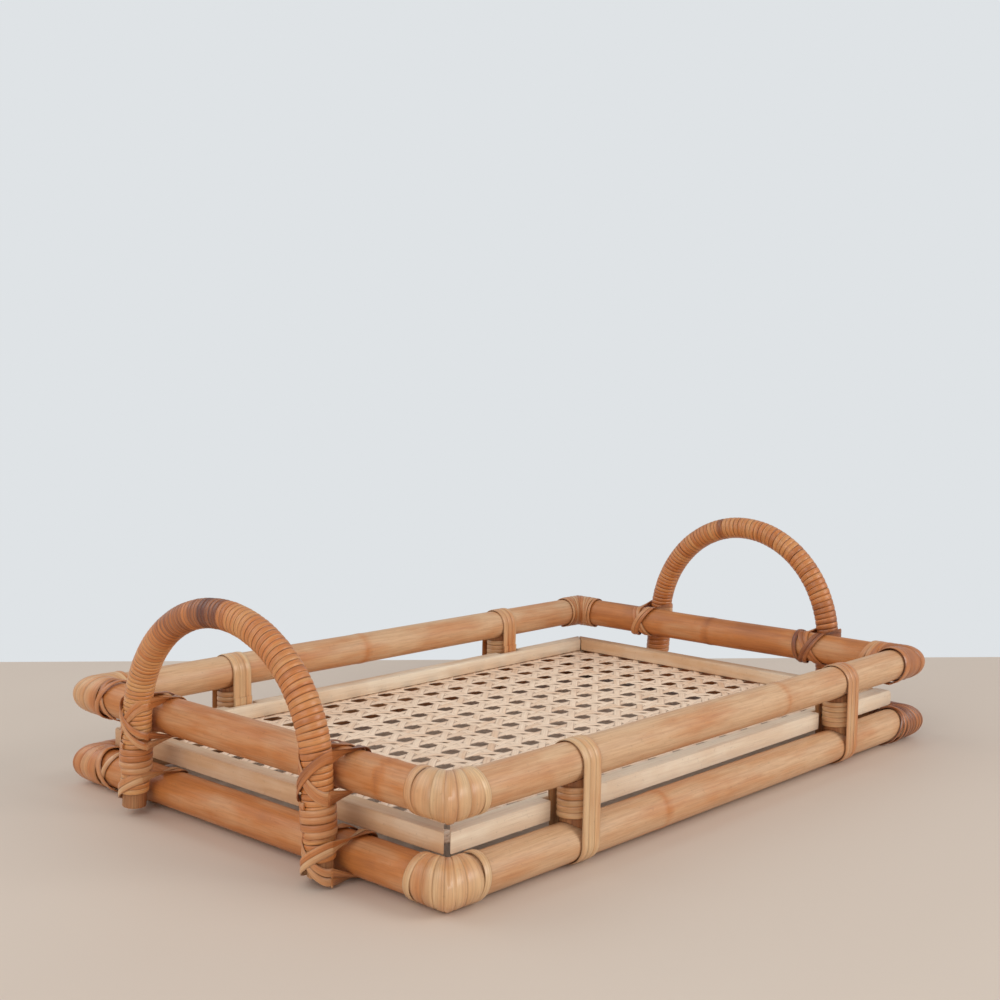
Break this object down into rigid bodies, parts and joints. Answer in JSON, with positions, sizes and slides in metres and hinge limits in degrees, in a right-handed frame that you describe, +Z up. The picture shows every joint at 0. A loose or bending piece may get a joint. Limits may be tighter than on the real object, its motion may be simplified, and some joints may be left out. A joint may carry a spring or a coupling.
{
  "type": "serving tray",
  "caption": "Rectangular serving tray of round poles in two tiers, with a loop handle at each end, peel bindings and an open woven cane panel.",
  "frame": {"origin": "centre of the tray's underside, on the surface that it stands on", "axes": "+X along the long side towards the higher handle, +Y across towards the back, +Z up"},
  "size_m": [0.4784, 0.2934, 0.1318],
  "materials": {
    "pole": "varnished bamboo pole, satin",
    "handle_cane": "bent rattan cane, dull",
    "peel": "rattan peel, glossy varnish",
    "batten": "planed light wood, matt",
    "cane": "woven natural cane, matt",
    "nail": "plain wire nail"
  },
  "bodies": {
    "root": {"lower_rail_front": "pole", "lower_rail_back": "pole", "lower_rail_left": "pole", "lower_rail_right": "pole", "upper_rail_front": "pole", "upper_rail_back": "pole", "upper_rail_left": "pole", "upper_rail_right": "pole", "corner_binding_lower_front_left": "peel", "corner_nail_lower_front_left": "nail", "corner_binding_lower_front_right": "peel", "corner_nail_lower_front_right": "nail", "corner_binding_lower_back_left": "peel", "corner_nail_lower_back_left": "nail", "corner_binding_lower_back_right": "peel", "corner_nail_lower_back_right": "nail", "corner_binding_upper_front_left": "peel", "corner_nail_upper_front_left": "nail", "corner_binding_upper_front_right": "peel", "corner_nail_upper_front_right": "nail", "corner_binding_upper_back_left": "peel", "corner_nail_upper_back_left": "nail", "corner_binding_upper_back_right": "peel", "corner_nail_upper_back_right": "nail", "post_front_left": "handle_cane", "post_winding_front_left": "peel", "post_strap_front_left": "peel", "panel_nail_front_left": "nail", "post_front_right": "handle_cane", "post_winding_front_right": "peel", "post_strap_front_right": "peel", "panel_nail_front_right": "nail", "post_back_left": "handle_cane", "post_winding_back_left": "peel", "post_strap_back_left": "peel", "panel_nail_back_left": "nail", "post_back_right": "handle_cane", "post_winding_back_right": "peel", "post_strap_back_right": "peel", "panel_nail_back_right": "nail", "handle_left": "handle_cane", "handle_wrap_left": "peel", "lashing_lower_left_front": "peel", "lashing_lower_left_back": "peel", "lashing_upper_left_front": "peel", "lashing_upper_left_back": "peel", "handle_right": "handle_cane", "handle_wrap_right": "peel", "lashing_lower_right_front": "peel", "lashing_lower_right_back": "peel", "lashing_upper_right_front": "peel", "lashing_upper_right_back": "peel", "batten_front": "batten", "batten_back": "batten", "batten_left": "batten", "batten_right": "batten", "cane_panel": "cane"}
  },
  "joints": []
}
